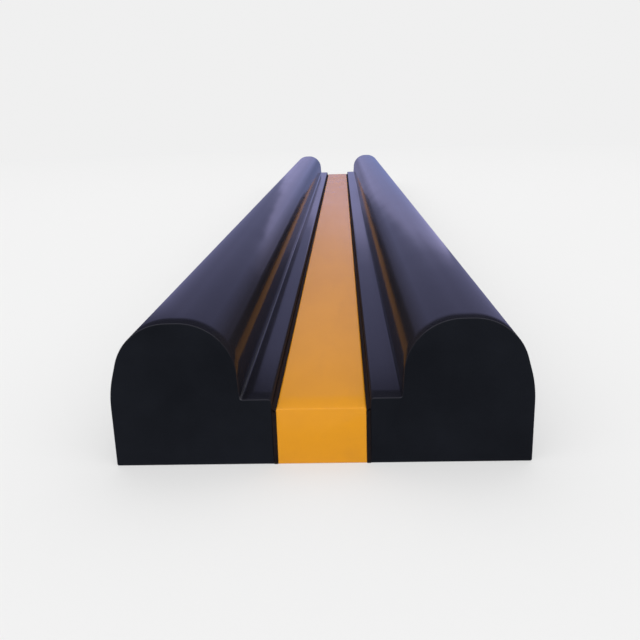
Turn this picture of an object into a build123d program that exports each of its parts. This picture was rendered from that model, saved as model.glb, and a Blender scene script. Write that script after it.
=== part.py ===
from build123d import *
import os

# Twin-rib rubber speed bump, 1.5 m long.
#
# Two black moulded rails stand either side of an amber centre strip.  Each rail is a rib with
# leaning sides and a rounded top, and a low ledge on its inner side.  A bond seam lies between
# the strip and each rail.  Steel tie rods run across all three bars, and their lock nuts sit in
# pockets in the outer sides, closed by rubber plugs.  Steel sockets moulded into the underside
# take studs that are set in the road.
#
# Frame: millimetres, +Z up, the bump runs along Y, and the origin is the centre of its underside.

# ---- Overall shape -------------------------------------------------------------------------
LENGTH = 1500.0
RIB_WIDTH = 65.0            # at its foot, level with the ledge
RIB_HEIGHT = 75.0
RIB_INNER_DRAW = 0.9        # a rib's sides draw in this far from foot to shoulder: inner side
RIB_OUTER_DRAW = 3.1        # and outer side
SIDE_BREAK_RISE = 5.0       # the outer side stops being upright this far above the ledge
SHOULDER_RISE_SHARE = 0.7   # shoulder radius as a share of a rib's rise off the ledge,
SHOULDER_WIDTH_SHARE = 0.431    # or of its width if that is less
SIDE_BLEND_SHARE = 1.5      # radius that rounds the outer side's break, as a share of the rise
CHANNEL_WIDTH = 80.0        # between the feet of the two ribs
LEDGE_HEIGHT = 35.0         # top of the ledge that flanks the strip
CORNER_RADIUS = 1.2         # hollow corner where a ledge meets its rib
LEDGE_EDGE_RADIUS = 2.0     # along the ledge's edge above the strip
FOOT_CHAMFER = 1.0          # along the outer bottom edge

# ---- Centre strip and its two bond seams -----------------------------------------------------
STRIP_WIDTH = 45.0
STRIP_HEIGHT = 30.0
STRIP_EDGE_RADIUS = 1.2
SEAM_WIDTH = 2.0
SEAM_DROP = 1.0             # the seam stops this far below the strip's top

# ---- Cross ties: M8 rods with large washers and lock nuts ------------------------------------
TIE_COUNT = 6
TIE_END_MARGIN = 75.0       # from an end face to the first tie
TIE_DIAMETER = 8.0
TIE_HOLE_CLEARANCE = 0.5    # radial, rod in rubber
TIE_END_CHAMFER = 1.0
TIE_TAIL = 2.0              # rod showing past its nut
THREAD_CLEARANCE = 0.05     # radial, rod in nut
WASHER_DIAMETER = 24.0
WASHER_THICKNESS = 2.0
WASHER_HOLE_CLEARANCE = 0.2
NUT_ACROSS_FLATS = 13.0
NUT_HEX_HEIGHT = 5.6
NUT_COLLAR_HEIGHT = 2.4
NUT_COLLAR_WALL = 0.7
LOCK_RING_WALL = 1.3        # nylon ring inside the nut's collar
LOCK_RING_HEIGHT = 2.0

# ---- Pockets for the nuts, and the plugs that close them -------------------------------------
POCKET_CLEARANCE = 1.0      # radial, washer in pocket
POCKET_FLOOR_COVER = 5.0    # rubber between a pocket and the road
PLUG_DEPTH = 8.0
PLUG_AIR = 1.0              # between the plug and the rod's end
PLUG_CLEARANCE = 0.1        # radial, at the plug's sealing beads
PLUG_BEAD_RISE = 0.6
PLUG_BEAD_WIDTH = 1.6
PLUG_RIM = 0.6              # from the plug's outer face to its first bead
PRY_SLOT_LENGTH = 14.0
PRY_SLOT_WIDTH = 3.0
PRY_SLOT_DEPTH = 2.0

# ---- Ground sockets: long M12 nuts welded to anchor plates, moulded into the underside --------
SOCKETS_PER_RAIL = 3
SOCKET_ACROSS_FLATS = 18.0
SOCKET_LENGTH = 36.0
SOCKET_RECESS = 1.0         # the nut stops short of the road
ANCHOR_PLATE_WIDTH = 40.0
ANCHOR_PLATE_THICKNESS = 4.0
THREAD_RADIUS = 5.1         # M12, at its tapping size
THREAD_MOUTH = 1.0          # countersink at the mouth

# ---- Places worked out from the sizes above ----------------------------------------------------
RIB_INNER_X = CHANNEL_WIDTH / 2
RIB_CENTRE_X = RIB_INNER_X + RIB_WIDTH / 2
RIB_RISE = RIB_HEIGHT - LEDGE_HEIGHT
SHOULDER_RADIUS = min(SHOULDER_RISE_SHARE * RIB_RISE, SHOULDER_WIDTH_SHARE * RIB_WIDTH)
SIDE_BLEND_RADIUS = SIDE_BLEND_SHARE * RIB_RISE
SIDE_BREAK_HEIGHT = LEDGE_HEIGHT + SIDE_BREAK_RISE
SHOULDER_Z = RIB_HEIGHT - SHOULDER_RADIUS
INNER_SHOULDER_X = RIB_INNER_X + RIB_INNER_DRAW + SHOULDER_RADIUS
OUTER_X = RIB_INNER_X + RIB_WIDTH
OUTER_SHOULDER_X = OUTER_X - RIB_OUTER_DRAW - SHOULDER_RADIUS
RAIL_INNER_X = STRIP_WIDTH / 2 + SEAM_WIDTH
SEAM_HEIGHT = STRIP_HEIGHT - SEAM_DROP

NUT_HEIGHT = NUT_HEX_HEIGHT + NUT_COLLAR_HEIGHT
POCKET_RADIUS = WASHER_DIAMETER / 2 + POCKET_CLEARANCE
POCKET_DEPTH = WASHER_THICKNESS + NUT_HEIGHT + TIE_TAIL + PLUG_AIR + PLUG_DEPTH
POCKET_SEAT_X = OUTER_X - POCKET_DEPTH
NUT_SEAT_X = POCKET_SEAT_X + WASHER_THICKNESS
TIE_Z = POCKET_FLOOR_COVER + POCKET_RADIUS
TIE_RADIUS = TIE_DIAMETER / 2
TIE_HOLE_RADIUS = TIE_RADIUS + TIE_HOLE_CLEARANCE
TIE_LENGTH = 2 * (NUT_SEAT_X + NUT_HEIGHT + TIE_TAIL)
TIE_PITCH = (LENGTH - 2 * TIE_END_MARGIN) / (TIE_COUNT - 1)
TIE_YS = [(i - (TIE_COUNT - 1) / 2) * TIE_PITCH for i in range(TIE_COUNT)]

SOCKET_TOP_Z = SOCKET_RECESS + SOCKET_LENGTH
THREAD_LOW_Z = SOCKET_RECESS + THREAD_MOUTH
BAY_YS = [(near + far) / 2 for near, far in zip(TIE_YS, TIE_YS[1:])]

SIDES = {"left": -1, "right": 1}


def socket_places():
    """Sockets spread over the bays between ties, the end ones in the end bays."""
    step = (BAY_YS[-1] - BAY_YS[0]) / (SOCKETS_PER_RAIL - 1)
    wanted = [BAY_YS[0] + i * step for i in range(SOCKETS_PER_RAIL)]
    return [min(BAY_YS, key=lambda bay: abs(bay - y)) for y in wanted]


SOCKET_YS = socket_places()

# ---- Shared drawing steps ----------------------------------------------------------------------
SECTION = Plane(origin=(0, 0, 0), x_dir=(1, 0, 0), z_dir=(0, -1, 0))    # its x and y are X and Z


def bar(section):
    """A section drawn in X and Z, carried along the whole bump."""
    return extrude(section, LENGTH / 2, both=True)


def across(radius, x_start, x_end, y):
    """A plain cylinder along X on the centre line of the tie at y."""
    place = Location(((x_start + x_end) / 2, y, TIE_Z), (0, 90, 0))
    return place * Cylinder(radius, x_end - x_start)


def turned(points):
    """A closed half section in X and Z, turned about Z."""
    with BuildSketch(SECTION) as sketch:
        with BuildLine():
            Polyline(*points, close=True)
        make_face()
    return revolve(sketch.sketch, Axis.Z)


def on_side(shape, side):
    """A piece drawn on the right-hand side, or its mirror image on the left."""
    return shape if side > 0 else mirror(shape, Plane.YZ)


# ---- Rails -----------------------------------------------------------------------------------
def rail_section():
    """Right-hand rail: a rib stretched over two shoulder circles, and a ledge towards the strip."""
    with BuildSketch(SECTION) as sketch:
        with Locations((INNER_SHOULDER_X, SHOULDER_Z), (OUTER_SHOULDER_X, SHOULDER_Z)):
            Circle(SHOULDER_RADIUS)
        with BuildLine():
            Polyline(
                (RIB_INNER_X, LEDGE_HEIGHT),
                (OUTER_X, LEDGE_HEIGHT),
                (OUTER_X, SIDE_BREAK_HEIGHT),
                close=True,
            )
        make_face()
        make_hull()
        with Locations(((RAIL_INNER_X + OUTER_X) / 2, LEDGE_HEIGHT / 2)):
            Rectangle(OUTER_X - RAIL_INNER_X, LEDGE_HEIGHT)
        rounded = [
            (RAIL_INNER_X, LEDGE_HEIGHT, LEDGE_EDGE_RADIUS),
            (RIB_INNER_X, LEDGE_HEIGHT, CORNER_RADIUS),
            (OUTER_X, SIDE_BREAK_HEIGHT, SIDE_BLEND_RADIUS),
        ]
        for x, z, radius in rounded:
            fillet(sketch.vertices().sort_by_distance((x, z))[0], radius)
        chamfer(sketch.vertices().sort_by_distance((OUTER_X, 0))[0], FOOT_CHAMFER)
    return sketch.sketch


def rail(side):
    """One moulded rail, with its tie holes, nut pockets and socket recesses."""
    cuts = []
    for y in TIE_YS:
        cuts.append(across(TIE_HOLE_RADIUS, RAIL_INNER_X - 1, POCKET_SEAT_X + 1, y))
        cuts.append(across(POCKET_RADIUS, POCKET_SEAT_X, OUTER_X + 1, y))
    for y in SOCKET_YS:
        cuts.append(Location((RIB_CENTRE_X, y, 0)) * socket_blank(-1))
    return on_side(bar(rail_section()) - cuts, side)


# ---- Centre strip and bond seams ---------------------------------------------------------------
def centre_strip():
    """Amber bar between the rails, its two top edges rounded."""
    with BuildSketch(SECTION) as sketch:
        with Locations((0, STRIP_HEIGHT / 2)):
            Rectangle(STRIP_WIDTH, STRIP_HEIGHT)
        fillet(sketch.vertices().group_by(Axis.Y)[-1], STRIP_EDGE_RADIUS)
    side_x = STRIP_WIDTH / 2
    holes = [across(TIE_HOLE_RADIUS, -side_x - 1, side_x + 1, y) for y in TIE_YS]
    return bar(sketch.sketch) - holes


def bond_seam(side):
    """Cured bond between the strip and one rail, a little lower than the strip."""
    with BuildSketch(SECTION) as sketch:
        with Locations((STRIP_WIDTH / 2 + SEAM_WIDTH / 2, SEAM_HEIGHT / 2)):
            Rectangle(SEAM_WIDTH, SEAM_HEIGHT)
    holes = [across(TIE_HOLE_RADIUS, STRIP_WIDTH / 2 - 1, RAIL_INNER_X + 1, y) for y in TIE_YS]
    return on_side(bar(sketch.sketch) - holes, side)


# ---- Cross ties --------------------------------------------------------------------------------
def tie_rod(y):
    """Threaded rod across the whole bump, chamfered at both ends."""
    rod = across(TIE_RADIUS, -TIE_LENGTH / 2, TIE_LENGTH / 2, y)
    return chamfer(rod.edges().filter_by(GeomType.CIRCLE), TIE_END_CHAMFER)


def tie_washer(y):
    """Large flat washer on the pocket's floor."""
    disc = across(WASHER_DIAMETER / 2, POCKET_SEAT_X, NUT_SEAT_X, y)
    hole_radius = TIE_RADIUS + WASHER_HOLE_CLEARANCE
    return disc - across(hole_radius, POCKET_SEAT_X - 1, NUT_SEAT_X + 1, y)


def lock_nut(y):
    """Hexagon nut with a thin round collar that holds the nylon ring."""
    hex_end = NUT_SEAT_X + NUT_HEX_HEIGHT
    nut_end = NUT_SEAT_X + NUT_HEIGHT
    ring_radius = TIE_RADIUS + LOCK_RING_WALL
    seat = Plane(origin=(NUT_SEAT_X, y, TIE_Z), x_dir=(0, 1, 0), z_dir=(1, 0, 0))
    hexagon = extrude(seat * RegularPolygon(NUT_ACROSS_FLATS / 2, 6, major_radius=False), NUT_HEX_HEIGHT)
    collar = across(ring_radius + NUT_COLLAR_WALL, hex_end, nut_end, y)
    bore = across(TIE_RADIUS + THREAD_CLEARANCE, NUT_SEAT_X - 1, nut_end + 1, y)
    return hexagon + collar - bore - across(ring_radius, hex_end, nut_end + 1, y)


def lock_ring(y):
    """Nylon ring pressed into the nut's collar; it grips the rod."""
    start = NUT_SEAT_X + NUT_HEX_HEIGHT
    end = start + LOCK_RING_HEIGHT
    ring = across(TIE_RADIUS + LOCK_RING_WALL, start, end, y)
    return ring - across(TIE_RADIUS + THREAD_CLEARANCE, start - 1, end + 1, y)


def side_plug(y):
    """Rubber plug flush with the rail's outer side, with two sealing beads and a pry slot."""
    inner_x = OUTER_X - PLUG_DEPTH
    bead_radius = POCKET_RADIUS - PLUG_CLEARANCE
    plug = across(bead_radius - PLUG_BEAD_RISE, inner_x, OUTER_X, y)
    for start in (inner_x + PLUG_BEAD_WIDTH, OUTER_X - PLUG_RIM - PLUG_BEAD_WIDTH):
        plug += across(bead_radius, start, start + PLUG_BEAD_WIDTH, y)
    slot = Location((OUTER_X, y, TIE_Z)) * Box(2 * PRY_SLOT_DEPTH, PRY_SLOT_LENGTH, PRY_SLOT_WIDTH)
    return plug - slot


# ---- Ground sockets ----------------------------------------------------------------------------
def socket_blank(low_z):
    """A socket's outside: the hexagon from low_z up, and the square plate on top of it."""
    hexagon = RegularPolygon(SOCKET_ACROSS_FLATS / 2, 6, major_radius=False)
    nut = extrude(Plane.XY.offset(low_z) * hexagon, SOCKET_TOP_Z - low_z)
    plate_z = SOCKET_TOP_Z + ANCHOR_PLATE_THICKNESS / 2
    plate = Box(ANCHOR_PLATE_WIDTH, ANCHOR_PLATE_WIDTH, ANCHOR_PLATE_THICKNESS)
    return nut + Location((0, 0, plate_z)) * plate


def ground_socket(y):
    """Long nut welded to its anchor plate, which closes the top of the thread."""
    hole = turned([
        (0, SOCKET_RECESS),
        (THREAD_RADIUS + THREAD_MOUTH, SOCKET_RECESS),
        (THREAD_RADIUS, THREAD_LOW_Z),
        (THREAD_RADIUS, SOCKET_TOP_Z),
        (0, SOCKET_TOP_Z),
    ])
    return Location((RIB_CENTRE_X, y, 0)) * (socket_blank(SOCKET_RECESS) - hole)


# ---- The whole bump ----------------------------------------------------------------------------
SIDE_FITTINGS = {
    "tie_washers": tie_washer,
    "lock_nuts": lock_nut,
    "lock_rings": lock_ring,
    "side_plugs": side_plug,
}


def subparts():
    """Every node's name, with its solid or its group of like solids."""
    nodes = {"centre_strip": centre_strip()}
    for name, side in SIDES.items():
        nodes[f"{name}_rail"] = rail(side)
        nodes[f"{name}_bond_seam"] = bond_seam(side)
        for label, piece in SIDE_FITTINGS.items():
            nodes[f"{name}_{label}"] = Compound([on_side(piece(y), side) for y in TIE_YS])
        for i, y in enumerate(SOCKET_YS, 1):
            nodes[f"{name}_ground_socket_{i}"] = on_side(ground_socket(y), side)
    for i, y in enumerate(TIE_YS, 1):
        nodes[f"tie_rod_{i}"] = tie_rod(y)
    return nodes


if __name__ == "__main__":
    os.makedirs("parts", exist_ok=True)
    for name, shape in subparts().items():
        export_step(shape, f"parts/{name}.step")
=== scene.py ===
import bmesh
import bpy
import numpy as np
from mathutils import Matrix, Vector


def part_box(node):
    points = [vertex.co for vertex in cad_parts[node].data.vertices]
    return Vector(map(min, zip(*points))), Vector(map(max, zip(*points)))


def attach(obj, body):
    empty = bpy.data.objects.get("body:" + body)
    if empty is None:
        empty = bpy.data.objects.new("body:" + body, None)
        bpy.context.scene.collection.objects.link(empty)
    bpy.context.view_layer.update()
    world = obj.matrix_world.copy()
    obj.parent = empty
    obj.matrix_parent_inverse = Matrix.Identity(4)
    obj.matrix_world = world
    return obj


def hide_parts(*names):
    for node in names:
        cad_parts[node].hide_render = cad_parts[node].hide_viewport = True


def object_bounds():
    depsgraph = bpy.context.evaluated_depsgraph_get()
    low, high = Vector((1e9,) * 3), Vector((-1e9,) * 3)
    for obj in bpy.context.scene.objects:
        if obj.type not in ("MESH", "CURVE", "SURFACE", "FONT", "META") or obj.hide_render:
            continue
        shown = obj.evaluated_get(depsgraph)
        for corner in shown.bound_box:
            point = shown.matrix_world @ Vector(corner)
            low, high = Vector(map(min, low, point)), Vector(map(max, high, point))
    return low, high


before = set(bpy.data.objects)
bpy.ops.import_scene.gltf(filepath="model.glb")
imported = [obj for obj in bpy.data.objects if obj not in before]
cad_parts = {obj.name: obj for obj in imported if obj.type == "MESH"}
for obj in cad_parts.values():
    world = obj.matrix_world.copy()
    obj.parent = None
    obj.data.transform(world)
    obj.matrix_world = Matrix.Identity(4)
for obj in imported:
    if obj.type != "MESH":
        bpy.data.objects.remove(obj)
cad_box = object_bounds()

# ---- Rails -------------------------------------------------------------------------------------
# Two bars moulded in black rubber, each a rib with leaning sides and a crowned top beside a low
# ledge.  Both ends are sawn square and left matt.  Pockets in the outer sides take the tie nuts,
# and recesses in the underside take the ground sockets.
RIB_WIDTH = 0.065               # at its foot, level with the ledge
RIB_INNER_DRAW = 0.0009         # its sides draw in this far from foot to shoulder: inner side
RIB_OUTER_DRAW = 0.0031         # and outer side
SIDE_BREAK_Z = 0.040            # where the outer side stops being upright
SIDE_BLEND_RADIUS = 0.060       # rounds that break
SHOULDER_RADIUS = 0.028
LEDGE_TOP = 0.035
LEDGE_EDGE_RADIUS = 0.002
HOLLOW_RADIUS = 0.0012          # where a ledge meets its rib
FOOT_RADIUS = 0.001
RAIL_END_RADIUS = 0.0008        # the cut ends' edges, worn a little round
RAIL_STATIONS = 140
RAIL_WAVE = 0.00018             # how far the moulded skin wanders inwards along the bar
POCKET_RADIUS = 0.013
POCKET_CHAMFER = 0.0006
POCKET_FLARE = 0.0014           # the chamfer's cutter widens this much more outside the skin
TIE_HOLE_RADIUS = 0.0045
SOCKET_FLATS = 0.018            # a ground socket's nut
PLATE_WIDTH = 0.040             # and the square plate welded to its top
PLATE_CORNER = 0.0265           # from the plate's middle to its cropped corners
PLATE_THICKNESS = 0.004
CUT_PAST = 0.001                # how far a cutter runs past the face that it opens
FINE_STEPS = 72                 # steps of angle round a hexagon or a fine thread
MOULDED_RUBBER = (0.0065, 0.0065, 0.0095, 1)
MOULDED_RUBBER_WORN = (0.0125, 0.0125, 0.0175, 1)
CUT_RUBBER = (0.0036, 0.0048, 0.0074, 1)
CUT_RUBBER_PALE = (0.0064, 0.0080, 0.0122, 1)
# Painted highlight: a pale line along the hollow corner of the left ledge, where the fillet catches
# the light
PAINTED_HIGHLIGHT = (0.040, 0.040, 0.046, 1)
HIGHLIGHT_LINE_X = -0.0399
HIGHLIGHT_SPREAD = (0.0002, 0.0008)  # from the line: full as far as the first, none past the second
HIGHLIGHT_Z = (0.0362, 0.0372)       # the same, upwards
FILM = (0.018, 0.016, 0.020, 1)
FILM_X = (0.0470, 0.0540)       # full as far from the bump's middle as the first, none past the second
FILM_Z = (0.0362, 0.0400)       # none below the first, full above the second
FILM_Y = (-0.75, -0.1)          # along the bump from the near end, it thins between these
FILM_COVER = (0.78, 0.40)       # from this share of the skin to this
LEDGE_FILM_X = (0.0252, 0.0258)
LEDGE_FILM_COVER = 0.9

rods = [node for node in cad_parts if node.startswith("tie_rod_")]
rods.sort(key=lambda node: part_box(node)[0].y)
ties = [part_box(node) for node in rods]
tie_ys = [(low.y + high.y) / 2 for low, high in ties]
tie_z = (ties[0][0].z + ties[0][1].z) / 2
bump_end = cad_box[1].y


def arc(centre, radius, start, end, steps):
    """Points on a circle: centre plus radius times cosine and sine of even steps in degrees."""
    angle = np.radians(np.linspace(start, end, steps))
    return np.array(centre) + radius * np.column_stack([np.cos(angle), np.sin(angle)])


def surface(name, grids, loops=False):
    """One closed mesh from grids of points, each shaped (rows, points around, 3).

    Every row is a ring, joined to the next row by four-sided faces.  The first and last rows are
    closed by a face each, or joined to each other if the surface loops.
    """
    points, faces, first = [], [], 0
    for grid in grids:
        rows, around = grid.shape[:2]
        index = first + np.arange(rows * around).reshape(rows, around)
        first += rows * around
        points.append(grid.reshape(-1, 3))
        if loops:
            index = np.vstack([index, index[:1]])
        else:
            faces += [index[0].tolist(), index[-1].tolist()]
        beside = np.roll(index, -1, axis=1)
        corners = [index[:-1], beside[:-1], beside[1:], index[1:]]
        faces += np.stack(corners, axis=-1).reshape(-1, 4).tolist()
    mesh = bpy.data.meshes.new(name)
    mesh.from_pydata(np.concatenate(points), [], faces)
    shell = bmesh.new()
    shell.from_mesh(mesh)
    bmesh.ops.recalc_face_normals(shell, faces=shell.faces)
    shell.to_mesh(mesh)
    shell.free()
    piece = bpy.data.objects.new(name, mesh)
    bpy.context.scene.collection.objects.link(piece)
    return piece


def shade(piece, sharp_degrees=35):
    """Smooth shading, with a hard edge wherever two faces meet at more than the given angle."""
    piece.data.shade_smooth()
    piece.data.set_sharp_from_angle(angle=np.radians(sharp_degrees))
    return piece


def cut(piece, tool):
    """Takes the tool's closed shape out of the piece and removes the tool."""
    step = piece.modifiers.new("cut", "BOOLEAN")
    step.object, step.operation, step.solver = tool, "DIFFERENCE", "EXACT"
    graph = bpy.context.evaluated_depsgraph_get()
    mesh = bpy.data.meshes.new_from_object(piece.evaluated_get(graph))
    piece.modifiers.clear()
    piece.data = mesh
    bpy.data.objects.remove(tool)
    return piece


def fit(piece, node):
    """Has the piece stand for its CAD node and ride on the one body."""
    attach(piece, "root")
    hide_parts(node)


def bar(outline, end_radius, wander, stations):
    """A closed outline in X and Z carried along the bump, its two end edges rounded.

    Each station is the outline moved inwards along its own normals: by wander(y, around) along
    the bar, and by one minus the sine of the rounding's angle at the ends.
    """
    turn = np.linspace(0, np.pi / 2, 5)
    inset = end_radius * (1 - np.sin(turn))
    reach = bump_end - end_radius * (1 - np.cos(turn))
    body = np.linspace(-reach[-1], reach[-1], stations)[1:-1]
    y = np.concatenate([-reach, body, reach[::-1]])
    ends = np.concatenate([inset, np.zeros(len(body)), inset[::-1]])
    ahead, behind = np.roll(outline, -1, axis=0), np.roll(outline, 1, axis=0)
    tangent = ahead - behind
    normal = np.column_stack([-tangent[:, 1], tangent[:, 0]])
    normal /= np.linalg.norm(normal, axis=1)[:, None]
    around = np.linspace(0, 1, len(outline), endpoint=False)
    depth = ends[:, None] + wander(y[:, None], around[None, :])
    grid = np.empty((len(y), len(outline), 3))
    grid[..., 0] = outline[None, :, 0] + depth * normal[None, :, 0]
    grid[..., 1] = y[:, None]
    grid[..., 2] = outline[None, :, 1] + depth * normal[None, :, 1]
    return grid


def lying(radii, offsets, centre, side, steps=48):
    """Turned shape about a line along X: rings of the given radii at the given offsets.

    A point is at the ring's offset from the centre, outwards on its side, and at its radius
    times the cosine and sine of the angle in Y and Z.
    """
    angle = np.linspace(0, 2 * np.pi, steps, endpoint=False)
    rings = np.array([np.broadcast_to(r, steps) for r in radii])
    grid = np.empty((len(rings), steps, 3))
    grid[..., 0] = side * (centre[0] + np.array(offsets, float)[:, None])
    grid[..., 1] = centre[1] + rings * np.cos(angle)
    grid[..., 2] = centre[2] + rings * np.sin(angle)
    return grid


def side_lean(foot_u, foot_z, shoulder_u, shoulder_z):
    """Angle from upright of the line from a foot that touches a shoulder circle's outside: the
    direction to the circle's centre, less the arc sine of its radius over the distance to it."""
    across, up = foot_u - shoulder_u, shoulder_z - foot_z
    half_of_circle = np.arcsin(SHOULDER_RADIUS / np.hypot(across, up))
    return np.arctan2(across, up) - half_of_circle


def rail_outline(inner_x, outer_x, top_z):
    """Right-hand section, anticlockwise from the foot of the outer side: arcs and runs that touch."""
    foot_x, shoulder_z = outer_x - RIB_WIDTH, top_z - SHOULDER_RADIUS
    outer_centre = outer_x - RIB_OUTER_DRAW - SHOULDER_RADIUS
    inner_centre = foot_x + RIB_INNER_DRAW + SHOULDER_RADIUS
    outer_lean = side_lean(outer_x, SIDE_BREAK_Z, outer_centre, shoulder_z)
    inner_lean = side_lean(-foot_x, LEDGE_TOP, -inner_centre, shoulder_z)
    blend_z = SIDE_BREAK_Z - SIDE_BLEND_RADIUS * np.tan(outer_lean / 2)
    hollow_x = foot_x - HOLLOW_RADIUS * np.tan(np.pi / 4 - inner_lean / 2)
    edge = (inner_x + LEDGE_EDGE_RADIUS, LEDGE_TOP - LEDGE_EDGE_RADIUS)
    outer_turn, inner_turn = np.degrees(outer_lean), np.degrees(inner_lean)
    rounds = [
        arc((outer_x - FOOT_RADIUS, FOOT_RADIUS), FOOT_RADIUS, -90, 0, 5),
        arc((outer_x - SIDE_BLEND_RADIUS, blend_z), SIDE_BLEND_RADIUS, 0, outer_turn, 9),
        arc((outer_centre, shoulder_z), SHOULDER_RADIUS, outer_turn, 90, 30),
        arc((inner_centre, shoulder_z), SHOULDER_RADIUS, 90, 180 - inner_turn, 30),
        arc((hollow_x, LEDGE_TOP + HOLLOW_RADIUS), HOLLOW_RADIUS, -inner_turn, -90, 9),
        arc(edge, LEDGE_EDGE_RADIUS, 90, 180, 7),
        [(inner_x, 0)],
    ]
    between_rounds = [6, 3, 3, 5, 6, 6, 12]
    outline = []
    for shape, steps, following in zip(rounds, between_rounds, rounds[1:] + rounds[:1]):
        share = np.linspace(0, 1, steps + 2)[1:-1, None]
        run = np.array(shape[-1]) + share * (np.array(following[0]) - np.array(shape[-1]))
        outline += [shape, run]
    return np.concatenate(outline)


def rail_wander(phase):
    """Inward wander of the skin: three slow sine waves along the bar, none of them at its ends."""
    def wander(y, around):
        wave = np.sin(17 * y + phase) + 0.6 * np.sin(39 * y + 2.1 * phase + 5 * around)
        wave = wave + 0.35 * np.sin(83 * y - phase + 9 * around)
        over_the_rib = np.sin(np.pi * np.clip((around - 0.15) / 0.65, 0, 1)) ** 2
        fade = np.clip((bump_end - np.abs(y)) / 0.03, 0, 1)
        strongest = 1 + 0.6 + 0.35
        return RAIL_WAVE * (1 + wave / strongest) / 2 * over_the_rib * fade
    return wander


def new_material(name):
    """An empty node material and its shader, with a short way to add and to link nodes."""
    material = bpy.data.materials.new(name)
    material.use_nodes = True
    nodes, links = material.node_tree.nodes, material.node_tree.links
    return material, nodes, links, nodes["Principled BSDF"]


def stretched(nodes, links, scale):
    """The piece's own coordinates, times the given number of pattern cells to the metre."""
    place = nodes.new("ShaderNodeTexCoord")
    mapping = nodes.new("ShaderNodeMapping")
    mapping.inputs["Scale"].default_value = scale
    links.new(place.outputs["Object"], mapping.inputs["Vector"])
    return mapping.outputs["Vector"]


def noise(nodes, links, scale, detail=4.0, roughness=0.55):
    """Noise from 0 to 1 with the given cells to the metre along X, Y and Z."""
    cloud = nodes.new("ShaderNodeTexNoise")
    cloud.inputs["Scale"].default_value = 1
    cloud.inputs["Detail"].default_value = detail
    cloud.inputs["Roughness"].default_value = roughness
    links.new(stretched(nodes, links, scale), cloud.inputs["Vector"])
    return cloud.outputs["Fac"]


def spread(nodes, links, value, low, high, start=0.3, end=0.7):
    """A number that goes from low to high as the value goes from start to end, held beyond."""
    scale = nodes.new("ShaderNodeMapRange")
    for name, number in (("From Min", start), ("From Max", end), ("To Min", low), ("To Max", high)):
        scale.inputs[name].default_value = number
    links.new(value, scale.inputs["Value"])
    return scale.outputs["Result"]


def between(nodes, links, value, low, high, start=0.35, end=0.65):
    """A colour that goes from low to high as the value goes from start to end."""
    ramp = nodes.new("ShaderNodeValToRGB")
    ramp.color_ramp.elements[0].position, ramp.color_ramp.elements[1].position = start, end
    ramp.color_ramp.elements[0].color, ramp.color_ramp.elements[1].color = low, high
    links.new(value, ramp.inputs["Fac"])
    return ramp.outputs["Color"]


def combined(nodes, links, operation, value, other=0.0):
    """One value and another, or a plain number, put through a named operation."""
    step = nodes.new("ShaderNodeMath")
    step.operation = operation
    for socket, source in zip(step.inputs, (value, other)):
        if isinstance(source, bpy.types.NodeSocket):
            links.new(source, socket)
        else:
            socket.default_value = source
    return step.outputs["Value"]


def laid_over(nodes, links, share, under, over):
    """A plain colour over another, by a share from 0 for none of it to 1 for nothing else."""
    mix = nodes.new("ShaderNodeMix")
    mix.data_type = "RGBA"
    mix.inputs["B"].default_value = over
    links.new(share, mix.inputs["Factor"])
    links.new(under, mix.inputs["A"])
    return mix.outputs["Result"]


def relief(nodes, links, shader, layers):
    """Stacks bumps, each a (height, depth in metres), and feeds the last one to the shader."""
    below = None
    for height, depth in layers:
        bump = nodes.new("ShaderNodeBump")
        bump.inputs["Strength"].default_value = 1
        bump.inputs["Distance"].default_value = depth
        links.new(height, bump.inputs["Height"])
        if below:
            links.new(below, bump.inputs["Normal"])
        below = bump.outputs["Normal"]
    links.new(below, shader.inputs["Normal"])


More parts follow.
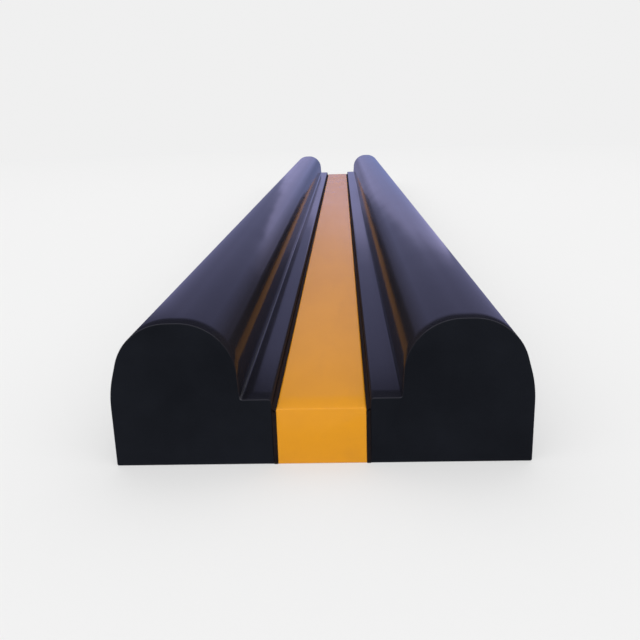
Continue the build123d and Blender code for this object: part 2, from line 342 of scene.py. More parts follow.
def moulded_rubber():
    """Glossy skin off the mould: cloudy gloss, faint flow lines along the bar, orange peel.

    A dull film lies on the ribs' inner sides and on the ledges' edges, and a pale line along the
    hollow corner of the left ledge is a painted highlight.
    """
    material, nodes, links, shader = new_material("moulded_rubber")
    clouds = noise(nodes, links, (26, 9, 26), 4)
    flow = noise(nodes, links, (260, 9, 260), 3)
    peel = noise(nodes, links, (420, 420, 420), 2)
    bloom = noise(nodes, links, (9, 5, 9), 5, 0.65)
    colour = between(nodes, links, bloom, MOULDED_RUBBER, MOULDED_RUBBER_WORN, 0.42, 0.72)
    place = nodes.new("ShaderNodeSeparateXYZ")
    links.new(stretched(nodes, links, (1, 1, 1)), place.inputs["Vector"])
    x, y, z = place.outputs
    # painted highlight: pale colour in a thin line along the left ledge's hollow corner
    from_line = combined(nodes, links, "SUBTRACT", x, HIGHLIGHT_LINE_X)
    from_line = combined(nodes, links, "ABSOLUTE", from_line)
    painted_highlight = combined(nodes, links, "MULTIPLY",
                    spread(nodes, links, from_line, 1, 0, *HIGHLIGHT_SPREAD),
                    spread(nodes, links, z, 1, 0, *HIGHLIGHT_Z))
    links.new(laid_over(nodes, links, painted_highlight, colour, PAINTED_HIGHLIGHT), shader.inputs["Base Color"])
    links.new(spread(nodes, links, bloom, 0.07, 0.13), shader.inputs["Roughness"])
    shader.inputs["IOR"].default_value = 1.5
    relief(nodes, links, shader, [(flow, 0.00002), (clouds, 0.00010), (peel, 0.000004)])
    across = combined(nodes, links, "ABSOLUTE", x)
    inner_side = combined(nodes, links, "MULTIPLY",
                          spread(nodes, links, across, 1, 0, *FILM_X),
                          spread(nodes, links, z, 0, 1, *FILM_Z))
    inner_side = combined(nodes, links, "MULTIPLY", inner_side,
                          spread(nodes, links, y, *FILM_COVER, *FILM_Y))
    ledge_edge = spread(nodes, links, across, LEDGE_FILM_COVER, 0, *LEDGE_FILM_X)
    film = nodes.new("ShaderNodeBsdfDiffuse")
    film.inputs["Color"].default_value = FILM
    mix = nodes.new("ShaderNodeMixShader")
    links.new(combined(nodes, links, "MAXIMUM", inner_side, ledge_edge), mix.inputs["Fac"])
    links.new(shader.outputs["BSDF"], mix.inputs[1])
    links.new(film.outputs["BSDF"], mix.inputs[2])
    links.new(mix.outputs["Shader"], nodes["Material Output"].inputs["Surface"])
    return material


def cut_rubber():
    """Matt face left by the saw: fine grain and faint slanting strokes, hardly any gloss."""
    material, nodes, links, shader = new_material("cut_rubber")
    grain = noise(nodes, links, (1400, 1400, 1400), 3)
    strokes = noise(nodes, links, (14, 14, 420), 3)
    patches = noise(nodes, links, (22, 22, 22), 4)
    links.new(between(nodes, links, patches, CUT_RUBBER, CUT_RUBBER_PALE), shader.inputs["Base Color"])
    links.new(spread(nodes, links, patches, 0.62, 0.8), shader.inputs["Roughness"])
    shader.inputs["Specular IOR Level"].default_value = 0.16
    relief(nodes, links, shader, [(strokes, 0.00006), (grain, 0.00004)])
    return material


def finish_ends(piece, skin, ends):
    """Gives the skin to the whole bar and the cut finish to faces that look along it."""
    piece.data.materials.clear()
    piece.data.materials.append(skin)
    piece.data.materials.append(ends)
    normals = np.empty(3 * len(piece.data.polygons))
    centres = np.empty(3 * len(piece.data.polygons))
    piece.data.polygons.foreach_get("normal", normals)
    piece.data.polygons.foreach_get("center", centres)
    at_end = np.abs(centres[1::3]) > bump_end - 0.4 * RAIL_END_RADIUS
    cut_face = (np.abs(normals[1::3]) > 0.8) & at_end
    piece.data.polygons.foreach_set("material_index", cut_face.astype(np.int32))


def hexagonal(across_flats, steps):
    """Distance from a hexagon's centre to its side, for each step of angle: half the width over
    flats, divided by the cosine of the angle from the middle of the nearest flat."""
    angle = np.linspace(0, 2 * np.pi, steps, endpoint=False)
    return across_flats / 2 / np.cos((angle + np.pi / 6) % (np.pi / 3) - np.pi / 6)


def square(width, corner, steps):
    """Distance from a square's centre to its side: half the width over the larger of the sizes
    of the cosine and the sine, held to the corner's distance."""
    angle = np.linspace(0, 2 * np.pi, steps, endpoint=False)
    side = width / 2 / np.maximum(np.abs(np.cos(angle)), np.abs(np.sin(angle)))
    return np.minimum(side, corner)


def standing(radii, heights, centre, steps=FINE_STEPS):
    """Rings about a vertical line: each row has a height, and a radius for every step of angle.

    A point is at its radius times the cosine and sine of the angle in X and Y from the centre.
    """
    angle = np.linspace(0, 2 * np.pi, steps, endpoint=False)
    rings = np.array([np.broadcast_to(r, steps) for r in radii])
    grid = np.empty((len(rings), steps, 3))
    grid[..., 0] = centre[0] + rings * np.cos(angle)
    grid[..., 1] = centre[1] + rings * np.sin(angle)
    grid[..., 2] = np.array(heights, float)[:, None]
    return grid


socket_hexagon = hexagonal(SOCKET_FLATS, FINE_STEPS)
plate_outline = square(PLATE_WIDTH, PLATE_CORNER, FINE_STEPS)
skin, cut_end = moulded_rubber(), cut_rubber()

for name, side in (("left", -1), ("right", 1)):
    low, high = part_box(f"{name}_rail")
    inner_x, outer_x = sorted((abs(low.x), abs(high.x)))
    outline = rail_outline(inner_x, outer_x, high.z)
    grid = bar(outline, RAIL_END_RADIUS, rail_wander(1.3 + side), RAIL_STATIONS)
    grid[..., 0] *= side
    rail = surface(f"{name}_moulded_rail", [grid])
    washer_low, washer_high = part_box(f"{name}_tie_washers")
    seat_x = min(abs(washer_low.x), abs(washer_high.x))
    pockets = []
    mouth = POCKET_RADIUS + POCKET_CHAMFER
    pocket_radii = [POCKET_RADIUS, POCKET_RADIUS, mouth, mouth + POCKET_FLARE]
    pocket_offsets = [seat_x, outer_x - POCKET_CHAMFER, outer_x, outer_x + POCKET_FLARE]
    hole_offsets = [inner_x - CUT_PAST, seat_x + CUT_PAST]
    for y in tie_ys:
        pockets.append(lying(pocket_radii, pocket_offsets, (0, y, tie_z), side))
        pockets.append(lying([TIE_HOLE_RADIUS] * 2, hole_offsets, (0, y, tie_z), side))
    for node in sorted(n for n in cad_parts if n.startswith(f"{name}_ground_socket")):
        socket_low, socket_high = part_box(node)
        plate_z = socket_high.z - PLATE_THICKNESS
        radii = [socket_hexagon, socket_hexagon, plate_outline, plate_outline]
        heights = [-CUT_PAST, plate_z, plate_z, socket_high.z]
        pockets.append(standing(radii, heights, (socket_low + socket_high) / 2))
    cut(rail, surface("pockets", pockets))
    finish_ends(rail, skin, cut_end)
    fit(shade(rail), f"{name}_rail")

# ---- Centre strip --------------------------------------------------------------------------------
# One bar of amber rubber, coloured all the way through and set a little below the ledges.  Its
# top edges are rounded by the mould, its ends are cut with the rails', and the ties pass through.
STRIP_EDGE_RADIUS = 0.0012
STRIP_WAVE = 0.00012            # how far its top wanders down along the bar
STRIP_STATIONS = 90
AMBER = (0.77, 0.322, 0.0145, 1)
AMBER_DULL = (0.73, 0.303, 0.0155, 1)
AMBER_GRIME = (0.58, 0.245, 0.022, 1)


def strip_outline(half_width, top_z):
    """Section from the right-hand foot, anticlockwise: two sides, and a top with rounded edges."""
    r = STRIP_EDGE_RADIUS
    side = np.linspace(0, top_z - r, 7)[:-1]
    return np.concatenate([
        np.column_stack([np.full(6, half_width), side]),
        arc((half_width - r, top_z - r), r, 0, 90, 7),
        np.column_stack([np.linspace(half_width - r, r - half_width, 14)[1:-1], np.full(12, top_z)]),
        arc((r - half_width, top_z - r), r, 90, 180, 7),
        np.column_stack([np.full(6, -half_width), side[::-1]]),
        np.column_stack([np.linspace(-half_width, half_width, 10)[1:-1], np.zeros(8)]),
    ])


def strip_wander(y, around):
    """Inward wander of the strip's top: two slow sine waves along it, none on its other sides."""
    on_top = np.sin(np.pi * np.clip((around - 0.25) / 0.42, 0, 1)) ** 2
    wave = (1 + 0.6 * np.sin(21 * y + 2) + 0.4 * np.sin(52 * y + 8 * around)) / 2
    fade = np.clip((bump_end - np.abs(y)) / 0.02, 0, 1)
    return STRIP_WAVE * wave * on_top * fade


def amber_rubber():
    """Satin amber with a cloudy gloss and a little grime in soft patches."""
    material, nodes, links, shader = new_material("amber_rubber")
    clouds = noise(nodes, links, (34, 12, 34), 5)
    grain = noise(nodes, links, (900, 900, 900), 2)
    smears = noise(nodes, links, (30, 5, 30), 6, 0.7)
    base = between(nodes, links, clouds, AMBER_DULL, AMBER, 0.35, 0.6)
    grime = spread(nodes, links, smears, 0, 0.35, 0.58, 0.8)
    links.new(laid_over(nodes, links, grime, base, AMBER_GRIME), shader.inputs["Base Color"])
    links.new(spread(nodes, links, clouds, 0.20, 0.14), shader.inputs["Roughness"])
    shader.inputs["Specular IOR Level"].default_value = 0.4
    relief(nodes, links, shader, [(clouds, 0.00006), (grain, 0.00001)])
    return material


def tie_holes(low_x, high_x):
    """Cutters for the round holes along X at every tie, a little longer than from low to high."""
    reach = [low_x - CUT_PAST, high_x + CUT_PAST]
    return [lying([TIE_HOLE_RADIUS] * 2, reach, (0, y, tie_z), 1) for y in tie_ys]


strip_low, strip_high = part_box("centre_strip")
outline = strip_outline(strip_high.x, strip_high.z)
strip = surface("amber_centre_strip", [bar(outline, RAIL_END_RADIUS, strip_wander, STRIP_STATIONS)])
cut(strip, surface("holes", tie_holes(strip_low.x, strip_high.x)))
strip.data.materials.clear()
strip.data.materials.append(amber_rubber())
fit(shade(strip), "centre_strip")

# ---- Bond seams ----------------------------------------------------------------------------------
# Dark brown adhesive that cured between the strip and each rail.  It ends a little below the
# strip's top, and creeps up the rail's side of the gap as it did when it was wet.
SEAM_CREEP = 0.0013             # how much higher its top is at the rail than at the strip
SEAM_SINK = 0.0004              # how far it shrank down as it cured
SEAM_WAVE = 0.0002              # how far its top wanders down along the bar
SEAM_STATIONS = 160
SEAM_BROWN = (0.0060, 0.0038, 0.0035, 1)
SEAM_BROWN_PALE = (0.0130, 0.0075, 0.0060, 1)


def seam_outline(near_x, far_x, top_z):
    """Section of a seam: three straight sides, and a top that rises as the square of the way
    across, from the strip's side to the rail's."""
    share = np.linspace(0, 1, 8)
    top = np.column_stack([near_x + share * (far_x - near_x), top_z + SEAM_CREEP * share ** 2])[::-1]
    low = [(near_x, top_z / 2), (near_x, 0), (far_x, 0), (far_x, top_z / 2)]
    return np.concatenate([low, top])


def seam_wander(y, around):
    """Inward wander of the seam's top: the product of two sine waves along it, none at its ends."""
    on_top = np.clip((around - 0.3) * 20, 0, 1)
    wave = (1 + np.sin(61 * y) * np.sin(23 * y + 1)) / 2
    return SEAM_WAVE * wave * on_top * (np.abs(y) < bump_end - 0.01)


def cured_bond():
    """Dark, rather dull adhesive, a little streaky along the seam."""
    material, nodes, links, shader = new_material("cured_bond")
    streaks = noise(nodes, links, (500, 30, 500), 4)
    links.new(between(nodes, links, streaks, SEAM_BROWN, SEAM_BROWN_PALE), shader.inputs["Base Color"])
    links.new(spread(nodes, links, streaks, 0.45, 0.6), shader.inputs["Roughness"])
    shader.inputs["Specular IOR Level"].default_value = 0.2
    relief(nodes, links, shader, [(streaks, 0.00008)])
    return material


bond = cured_bond()
for name, side in (("left", -1), ("right", 1)):
    low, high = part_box(f"{name}_bond_seam")
    near_x, far_x = sorted((abs(low.x), abs(high.x)))
    outline = seam_outline(near_x, far_x, high.z - SEAM_SINK)
    grid = bar(outline, RAIL_END_RADIUS / 2, seam_wander, SEAM_STATIONS)
    grid[..., 0] *= side
    seam = surface(f"{name}_adhesive_seam", [grid])
    cut(seam, surface("holes", tie_holes(low.x, high.x)))
    seam.data.materials.clear()
    seam.data.materials.append(bond)
    fit(shade(seam), f"{name}_bond_seam")

# ---- Tie rods ------------------------------------------------------------------------------------
# Lengths of M8 threaded steel rod, zinc plated, with both ends chamfered.  They run across all
# three bars and pull them together.
ROD_PITCH = 0.00125
ROD_THREAD_DEPTH = 0.00062
ROD_END_CHAMFER = 0.001
ROD_STEPS = 20
ROWS_TO_A_TURN = 6              # along a thread
ZINC = (0.56, 0.57, 0.59, 1)
ZINC_DULL = (0.42, 0.43, 0.46, 1)


def groove(along, steps, pitch, depth):
    """Depth of a screw thread at each point along and around: a triangle wave of the distance
    along the line in pitches less the angle in turns."""
    turn = np.linspace(0, 1, steps, endpoint=False)
    phase = (np.asarray(along)[:, None] / pitch - turn[None, :]) % 1
    return depth * np.clip(2.4 * np.abs(phase - 0.5) * 2 - 0.7, 0, 1)


def zinc_plate():
    """Zinc on steel: bright metal with soft dull patches and a fine brushed grain."""
    material, nodes, links, shader = new_material("zinc_plate")
    patches = noise(nodes, links, (180, 180, 180), 4)
    grain = noise(nodes, links, (2600, 900, 2600), 2)
    links.new(between(nodes, links, patches, ZINC_DULL, ZINC), shader.inputs["Base Color"])
    links.new(spread(nodes, links, patches, 0.46, 0.3), shader.inputs["Roughness"])
    shader.inputs["Metallic"].default_value = 1
    relief(nodes, links, shader, [(grain, 0.00001)])
    return material


zinc = zinc_plate()
for node, (low, high), y in zip(rods, ties, tie_ys):
    along = np.arange(low.x + ROD_END_CHAMFER / 2, high.x, ROD_PITCH / ROWS_TO_A_TURN)
    from_end = np.minimum(along - low.x, high.x - along)[:, None]
    crest = (high.z - low.z) / 2
    thread = crest - groove(along, ROD_STEPS, ROD_PITCH, ROD_THREAD_DEPTH)
    held = np.minimum(thread, crest - ROD_END_CHAMFER + from_end)
    ends = np.full((1, ROD_STEPS), crest - ROD_END_CHAMFER)
    radii = np.concatenate([ends, held, ends])
    offsets = np.concatenate([[low.x], along, [high.x]])
    rod = surface(f"threaded_{node}", [lying(radii, offsets, (0, y, tie_z), 1, ROD_STEPS)])
    rod.data.materials.append(zinc)
    fit(shade(rod, 50), node)

# ---- Washers, lock nuts and lock rings -----------------------------------------------------------
# On each end of each rod: a large punched washer on the pocket's floor, a hexagon nut with a thin
# round collar, and a nylon ring pressed into that collar, which grips the rod.
NUT_FLATS = 0.013
NUT_HEX_HEIGHT = 0.0056
NUT_COLLAR_RADIUS = 0.006
NUT_BORE_RADIUS = 0.00405
NUT_CORNER_RISE = 0.0006        # height over which the hexagon's corners are rounded off
NUT_THREAD_START = 0.0004       # from either face of the hexagon
NUT_COUNTERSINK = 0.0005
COLLAR_RIM = 0.0003             # rounded off its top
COLLAR_FILLET = 0.0002          # at its foot
RING_SEAT_RISE = 0.00001        # the ring's seat is a hair higher at its outside
RING_RADIUS = 0.0053
RING_HEIGHT = 0.002
RING_CORNER = 0.00015
WASHER_HOLE = 0.0042
WASHER_EDGE = 0.0004
NYLON = (0.72, 0.74, 0.72, 1)
NYLON_DULL = (0.66, 0.68, 0.66, 1)


def nylon():
    """Milky nylon with a soft sheen."""
    material, nodes, links, shader = new_material("nylon")
    clouds = noise(nodes, links, (300, 300, 300), 3)
    links.new(between(nodes, links, clouds, NYLON_DULL, NYLON), shader.inputs["Base Color"])
    links.new(spread(nodes, links, clouds, 0.4, 0.55), shader.inputs["Roughness"])
    relief(nodes, links, shader, [(clouds, 0.00002)])
    return material


def washer_rings(thickness, radius):
    """Section of a punched washer as radii and heights: the outer edge is rounded on one side."""
    hole, e = WASHER_HOLE, WASHER_EDGE
    radii = [hole + e / 3, radius - e / 4, radius, radius, radius - e, hole + e / 2, hole, hole]
    heights = [0, 0, e / 4, thickness - e, thickness, thickness, thickness - e / 2, e / 3]
    return radii, heights


def nut_rings(height):
    """Section of a lock nut, up its outside and down its bore, as one radius a step of angle.

    The hexagon is held to a cone at both ends, which rounds its corners off, and the bore is its
    radius plus the groove of the thread.
    """
    outline = hexagonal(NUT_FLATS, FINE_STEPS)
    rise = np.linspace(0, NUT_CORNER_RISE, 4)
    cone = NUT_FLATS / 2 - 0.0001 + rise / np.tan(np.pi / 6)
    foot = [np.minimum(outline, c) for c in cone]
    head = foot[::-1]
    bore = np.arange(NUT_HEX_HEIGHT - NUT_THREAD_START, NUT_THREAD_START, -ROD_PITCH / ROWS_TO_A_TURN)
    threads = list(NUT_BORE_RADIUS + groove(bore, FINE_STEPS, ROD_PITCH, ROD_THREAD_DEPTH))
    bore_mouth = NUT_BORE_RADIUS + NUT_COUNTERSINK
    collar = [
        (NUT_COLLAR_RADIUS + COLLAR_FILLET, NUT_HEX_HEIGHT),
        (NUT_COLLAR_RADIUS, NUT_HEX_HEIGHT + COLLAR_FILLET),
        (NUT_COLLAR_RADIUS, height - COLLAR_RIM),
        (NUT_COLLAR_RADIUS - COLLAR_RIM, height),
        (RING_RADIUS, height),
        (RING_RADIUS, NUT_HEX_HEIGHT + RING_SEAT_RISE),
        (bore_mouth, NUT_HEX_HEIGHT),
    ]
    radii = foot + head + [radius for radius, _ in collar] + threads + [bore_mouth]
    heights = [*rise, *(NUT_HEX_HEIGHT - rise[::-1]), *(z for _, z in collar), *bore, 0]
    return radii, heights


def ring_rings():
    """Section of a nylon ring: a rectangle with its corners taken off."""
    inner, outer, top, e = NUT_BORE_RADIUS, RING_RADIUS, RING_HEIGHT, RING_CORNER
    radii = [inner + e, outer - e, outer, outer, outer - e, inner + e, inner, inner]
    heights = [0, 0, e, top - e, top, top, top - e, e]
    return radii, heights


milky = nylon()
for name, side in (("left", -1), ("right", 1)):
    washer_low, washer_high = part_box(f"{name}_tie_washers")
    seat_x, nut_x = sorted((abs(washer_low.x), abs(washer_high.x)))
    nut_low, nut_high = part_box(f"{name}_lock_nuts")
    washer = washer_rings(nut_x - seat_x, (washer_high.z - washer_low.z) / 2)
    nut = nut_rings(nut_high.x - nut_low.x)
    sets = {
        "tie_washers": ("punched_washers", washer, seat_x, zinc, "zinc_steel"),
        "lock_nuts": ("hexagon_lock_nuts", nut, nut_x, zinc, "zinc_steel"),
        "lock_rings": ("nylon_lock_rings", ring_rings(), nut_x + NUT_HEX_HEIGHT, milky, "nylon"),
    }
    for node, (label, (radii, heights), start, finish, slot) in sets.items():
        grids = [lying(radii, heights, (start, y, tie_z), side, FINE_STEPS) for y in tie_ys]
        group = surface(f"{name}_{label}", grids, loops=True)
        group.data.materials.append(finish)
        fit(shade(group), f"{name}_{node}")

# ---- Side plugs ----------------------------------------------------------------------------------
# Soft black rubber plugs that close the nut pockets.  Two round beads seal against the pocket, and
# the outer face is dished, with a raised rim and a slot to pry the plug out.
PLUG_BODY_RADIUS = 0.0123
PLUG_BEAD_RADIUS = 0.0129
PLUG_BEAD_WIDTH = 0.0016
PLUG_RIM = 0.0006
PLUG_RIM_ROUNDING = 0.0005
PLUG_FOOT_CHAMFER = 0.001
PLUG_MIDDLE = 0.0004            # radius of the small flat faces on the plug's own line
PLUG_DISH = 0.0005              # how deep the outer face is dished
DISH_EDGE_RADIUS = 0.0095       # the dish starts here
DISH_SLOPE_WIDTH = 0.0035       # and is at its full depth this much further in
PLUG_STEPS = 64
SLOT_LENGTH, SLOT_WIDTH, SLOT_DEPTH = 0.014, 0.003, 0.002
PLUG_BLACK = (0.013, 0.013, 0.0145, 1)
PLUG_GREY = (0.024, 0.024, 0.026, 1)


def plug_rings(depth):
    """Section of a plug from the middle of its inner face to the middle of its outer one.

    The body's radius swells by the sine of the way across each bead, and the dish is a cosine.
    """
    way = np.linspace(0, 1, 9)
    swell = PLUG_BODY_RADIUS + (PLUG_BEAD_RADIUS - PLUG_BODY_RADIUS) * np.sin(np.pi * way)
    inner_bead = PLUG_BEAD_WIDTH * (1 + way)
    outer_bead = depth - PLUG_RIM - PLUG_BEAD_WIDTH * (1 - way)
    dish = np.linspace(0, np.pi, 9)
    dish_radii = DISH_EDGE_RADIUS - DISH_SLOPE_WIDTH * dish / np.pi
    dish_depths = depth - PLUG_DISH * (1 - np.cos(dish)) / 2
    rounding = PLUG_RIM_ROUNDING
    rim = arc((PLUG_BODY_RADIUS - rounding, depth - rounding), rounding, 0, 90, 5)
    foot = [PLUG_MIDDLE, PLUG_BODY_RADIUS - PLUG_FOOT_CHAMFER, PLUG_BODY_RADIUS]
    radii = [*foot, *swell, *swell, *rim[:, 0], *dish_radii, PLUG_MIDDLE]
    heights = [0, 0, PLUG_FOOT_CHAMFER, *inner_bead, *outer_bead, *rim[:, 1], *dish_depths]
    return radii, heights + [depth - PLUG_DISH]


def pry_slots(face_x, side):
    """Closed bars with half-round ends, sunk into each plug's face to the slot's depth."""
    r, half = SLOT_WIDTH / 2, SLOT_LENGTH / 2 - SLOT_WIDTH / 2
    ring = np.concatenate([arc((half, 0), r, -90, 90, 9), arc((-half, 0), r, 90, 270, 9)])
    depths = np.array([-SLOT_DEPTH, CUT_PAST])
    grids = []
    for y in tie_ys:
        grid = np.empty((2, len(ring), 3))
        grid[..., 0] = side * (face_x + depths[:, None])
        grid[..., 1] = y + ring[:, 0]
        grid[..., 2] = tie_z + ring[:, 1]
        grids.append(grid)
    return grids


def plug_rubber():
    """Matt soft rubber with a faint grey bloom."""
    material, nodes, links, shader = new_material("plug_rubber")
    bloom = noise(nodes, links, (120, 120, 120), 5)
    grain = noise(nodes, links, (1500, 1500, 1500), 2)
    links.new(between(nodes, links, bloom, PLUG_BLACK, PLUG_GREY), shader.inputs["Base Color"])
    links.new(spread(nodes, links, bloom, 0.5, 0.68), shader.inputs["Roughness"])
    relief(nodes, links, shader, [(bloom, 0.00004), (grain, 0.00002)])
    return material


plug_finish = plug_rubber()
for name, side in (("left", -1), ("right", 1)):
    low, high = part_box(f"{name}_side_plugs")
    inner_x, face_x = sorted((abs(low.x), abs(high.x)))
    radii, heights = plug_rings(face_x - inner_x)
    grids = [lying(radii, heights, (inner_x, y, tie_z), side, PLUG_STEPS) for y in tie_ys]
    plugs = surface(f"{name}_pocket_plugs", grids)
    cut(plugs, surface("slots", pry_slots(face_x, side)))
    plugs.data.materials.clear()
    plugs.data.materials.append(plug_finish)
    fit(shade(plugs), f"{name}_side_plugs")

# ---- Ground sockets ------------------------------------------------------------------------------
# Long M12 nuts, each welded to a square anchor plate and moulded into the underside of a rail.
# The thread is open to the road, and the plate closes it at the top.
THREAD_RADIUS = 0.0051
SOCKET_PITCH = 0.00175
SOCKET_THREAD_DEPTH = 0.0008
SOCKET_MOUTH = 0.001            # the thread's countersink
SOCKET_CONE_RADIUS = 0.0088     # the nut's foot is this wide where its corners are rounded off most
PLATE_EDGE = 0.0004
SOCKET_MIDDLE = 0.0003          # radius of the small flat faces on the socket's own line


def socket_rings(low_z, high_z):
    """Section of a socket from the blind end of its thread, down and out, and up to the middle of
    the plate: the nut's foot is held to a cone, as on the lock nuts."""
    plate_z = high_z - PLATE_THICKNESS
    bore = np.arange(plate_z - 0.0002, low_z + SOCKET_MOUTH, -SOCKET_PITCH / 5)
    threads = list(THREAD_RADIUS + groove(bore, FINE_STEPS, SOCKET_PITCH, SOCKET_THREAD_DEPTH))
    rise = np.array([0, 0.0003, 0.0006, 0.001])
    cone = SOCKET_CONE_RADIUS + rise / np.tan(np.pi / 6)
    foot = [np.minimum(socket_hexagon, c) for c in cone]
    plate = [plate_outline, plate_outline, plate_outline - PLATE_EDGE]
    radii = [SOCKET_MIDDLE, THREAD_RADIUS, *threads, THREAD_RADIUS + SOCKET_MOUTH, *foot]
    radii += [socket_hexagon, *plate, SOCKET_MIDDLE]
    heights = [plate_z, plate_z, *bore, low_z, *(low_z + rise)]
    heights += [plate_z, plate_z, high_z - PLATE_EDGE, high_z, high_z]
    return radii, heights


for node in sorted(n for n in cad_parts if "_ground_socket_" in n):
    low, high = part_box(node)
    radii, heights = socket_rings(low.z, high.z)
    socket = surface(f"{node}_nut_and_plate", [standing(radii, heights, (low + high) / 2)])
    socket.data.materials.append(zinc)
    fit(shade(socket), node)

# ---- Stage, light and camera ---------------------------------------------------------------------
# A plain pale floor runs out to a plain pale backdrop.  Soft lamps light the colours evenly.  The
# glossy rubber mirrors a surround of its own: dim lilac beyond the ends, dark, then pale to the sides.
FLOOR_REACH = 14.0
FLOOR_FADE_START, FLOOR_FADE_END = 0.6, 3.0     # from the middle of the bump, in metres
FLOOR_GLOW = (0.45, 1)                          # the backdrop's share in the floor, at each of them
FLOOR_TONE = (0.80, 0.80, 0.80, 1)
BACKDROP_TONE = (0.87, 0.87, 0.87, 1)


def floor_and_backdrop():
    """A disc on the ground and a dome over it, the dome seen but casting no light or reflection."""
    rings = np.linspace(0.02, 1, 12)[:, None]
    angle = np.linspace(0, 2 * np.pi, 64, endpoint=False)
    disc = np.zeros((12, 64, 3))
    disc[..., 0] = FLOOR_REACH * rings * np.cos(angle)
    disc[..., 1] = FLOOR_REACH * rings * np.sin(angle)
    climb = np.linspace(0, 0.49 * np.pi, 16)[:, None]
    dome = np.empty((16, 64, 3))
    dome[..., 0] = FLOOR_REACH * np.cos(climb) * np.cos(angle)
    dome[..., 1] = FLOOR_REACH * np.cos(climb) * np.sin(angle)
    dome[..., 2] = FLOOR_REACH * np.sin(climb)
    shapes = []
    for label, grid in (("floor", disc), ("backdrop", dome)):
        rows, around = grid.shape[:2]
        index = np.arange(rows * around).reshape(rows, around)
        beside = np.roll(index, -1, axis=1)
        corners = [index[:-1], index[1:], beside[1:], beside[:-1]]
        faces = np.stack(corners, axis=-1).reshape(-1, 4).tolist()
        faces.append(index[-1].tolist() if label == "backdrop" else index[0].tolist())
        mesh = bpy.data.meshes.new(label)
        mesh.from_pydata(grid.reshape(-1, 3), [], faces)
        mesh.shade_smooth()
        shape = bpy.data.objects.new(label, mesh)
        bpy.context.scene.collection.objects.link(shape)
        shapes.append(shape)
    return shapes


floor, backdrop = floor_and_backdrop()
paper, nodes, links, shader = new_material("floor_paper")
shader.inputs["Base Color"].default_value = FLOOR_TONE
shader.inputs["Roughness"].default_value = 0.9
shader.inputs["Specular IOR Level"].default_value = 0
glow = nodes.new("ShaderNodeEmission")
glow.inputs["Color"].default_value = BACKDROP_TONE
place = nodes.new("ShaderNodeTexCoord")
from_middle = nodes.new("ShaderNodeVectorMath")
from_middle.operation = "LENGTH"
links.new(place.outputs["Object"], from_middle.inputs[0])
fade = nodes.new("ShaderNodeMixShader")
reach = from_middle.outputs["Value"]
share = spread(nodes, links, reach, *FLOOR_GLOW, FLOOR_FADE_START, FLOOR_FADE_END)
links.new(share, fade.inputs["Fac"])
links.new(shader.outputs["BSDF"], fade.inputs[1])
links.new(glow.outputs["Emission"], fade.inputs[2])
links.new(fade.outputs["Shader"], nodes["Material Output"].inputs["Surface"])
floor.data.materials.append(paper)
floor.visible_glossy = False
backdrop_glow, nodes, links, shader = new_material("backdrop_glow")
shader.inputs["Base Color"].default_value = (0, 0, 0, 1)
shader.inputs["Emission Color"].default_value = BACKDROP_TONE
shader.inputs["Emission Strength"].default_value = 1
shader.inputs["Specular IOR Level"].default_value = 0
backdrop.data.materials.append(backdrop_glow)
backdrop.visible_glossy = False
backdrop.visible_diffuse = False
backdrop.visible_shadow = False
backdrop.visible_transmission = False


def lamp(name, strength, heading, height, softness):
    """A soft sun from a heading (0 is the near end) and a height in degrees, left out of gloss."""
    light = bpy.data.lights.new(name, "SUN")
    light.energy = strength
    light.angle = np.radians(softness)
    sun = bpy.data.objects.new(name, light)
    aside = Matrix.Rotation(np.radians(heading), 4, "Z")
    sun.matrix_world = aside @ Matrix.Rotation(np.radians(90 - height), 4, "X")
    sun.visible_glossy = False
    bpy.context.scene.collection.objects.link(sun)


lamp("overhead", 2.0, 0, 90, 140)
lamp("front_left", 0.9, -30, 35, 80)
lamp("front_right", 0.9, 30, 35, 80)
lamp("back", 0.95, 180, 38, 80)


def angle_ramp(nodes, links, axis, stops):
    """Colour by the angle in degrees, up to 90, between a direction and a horizontal axis."""
    place = nodes.new("ShaderNodeTexCoord")
    along = nodes.new("ShaderNodeVectorMath")
    along.operation = "DOT_PRODUCT"
    along.inputs[1].default_value = axis
    links.new(place.outputs["Generated"], along.inputs[0])
    either_way = combined(nodes, links, "ABSOLUTE", along.outputs["Value"])
    angle = combined(nodes, links, "ARCCOSINE", either_way)
    ramp = nodes.new("ShaderNodeValToRGB")
    elements = ramp.color_ramp.elements
    elements[0].color = (*stops[0][1], 1)
    elements[1].color = (*stops[-1][1], 1)
    for turn, colour in stops[1:-1]:
        elements.new(turn / 90).color = (*colour, 1)
    links.new(combined(nodes, links, "DIVIDE", angle, np.pi / 2), ramp.inputs["Fac"])
    return ramp.outputs["Color"]


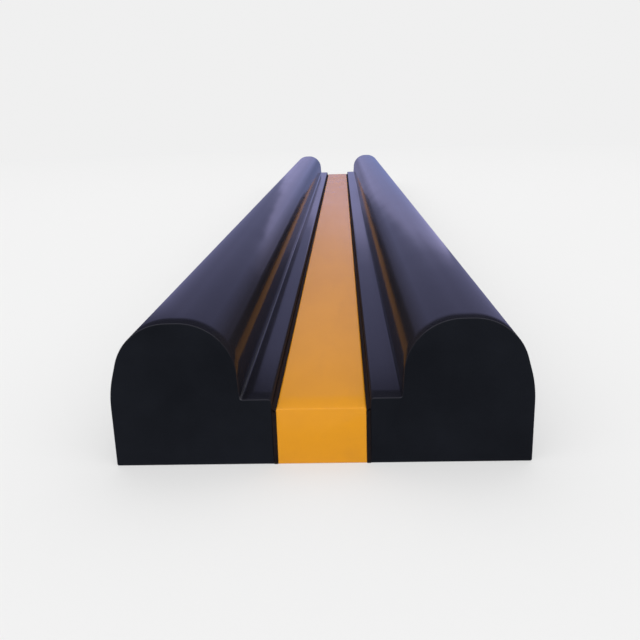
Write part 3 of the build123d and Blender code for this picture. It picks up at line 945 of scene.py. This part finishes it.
def surround():
    """World for gloss alone: rings of colour about the bump's length, in degrees from its ends.

    A lilac sheet stands beyond each end, with a smaller and brighter one within it, turned a
    little aside.  Past a dark gap, the rings grow pale towards the sides and the top.
    """
    world = bpy.data.worlds.new("surround")
    bpy.context.scene.world = world
    world.use_nodes = True
    nodes, links = world.node_tree.nodes, world.node_tree.links
    sheet = angle_ramp(nodes, links, (0, 1, 0), [
        (0, (0.17, 0.18, 0.33)),
        (19.6, (0.18, 0.18, 0.33)),
        (22.8, (0.03, 0.03, 0.05)),
        (32, (0.03, 0.03, 0.05)),
        (48, (0.30, 0.30, 0.38)),
        (70, (0.62, 0.62, 0.72)),
        (90, (0.70, 0.70, 0.80)),
    ])
    inner_sheet = angle_ramp(nodes, links, (0.062, 0.998, 0), [
        (0, (0.06, 0.11, 0.27)),
        (6, (0.15, 0.15, 0.27)),
        (9.8, (0.25, 0.23, 0.38)),
        (10.3, (0, 0, 0)),
        (90, (0, 0, 0)),
    ])
    both = nodes.new("ShaderNodeVectorMath")
    both.operation = "ADD"
    links.new(sheet, both.inputs[0])
    links.new(inner_sheet, both.inputs[1])
    ray = nodes.new("ShaderNodeLightPath")
    links.new(ray.outputs["Is Glossy Ray"], nodes["Background"].inputs["Strength"])
    links.new(both.outputs["Vector"], nodes["Background"].inputs["Color"])


surround()

CAMERA_PLACE = (0.0129, -1.0804, 0.1687)
CAMERA_LENS, CAMERA_SENSOR = 40.5, 36           # millimetres
CAMERA_TURN, CAMERA_TILT, CAMERA_ROLL = 2.10, 15.75, -1.67      # degrees

camera = bpy.data.objects.new("camera", bpy.data.cameras.new("camera"))
camera.data.lens, camera.data.sensor_width = CAMERA_LENS, CAMERA_SENSOR
aim = Matrix.Rotation(np.radians(CAMERA_TURN), 4, "Z")
aim = aim @ Matrix.Rotation(np.radians(90 - CAMERA_TILT), 4, "X")
aim = aim @ Matrix.Rotation(np.radians(CAMERA_ROLL), 4, "Z")
camera.matrix_world = Matrix.Translation(CAMERA_PLACE) @ aim
bpy.context.scene.collection.objects.link(camera)
bpy.context.scene.camera = camera
bpy.context.scene.view_settings.view_transform = "Standard"
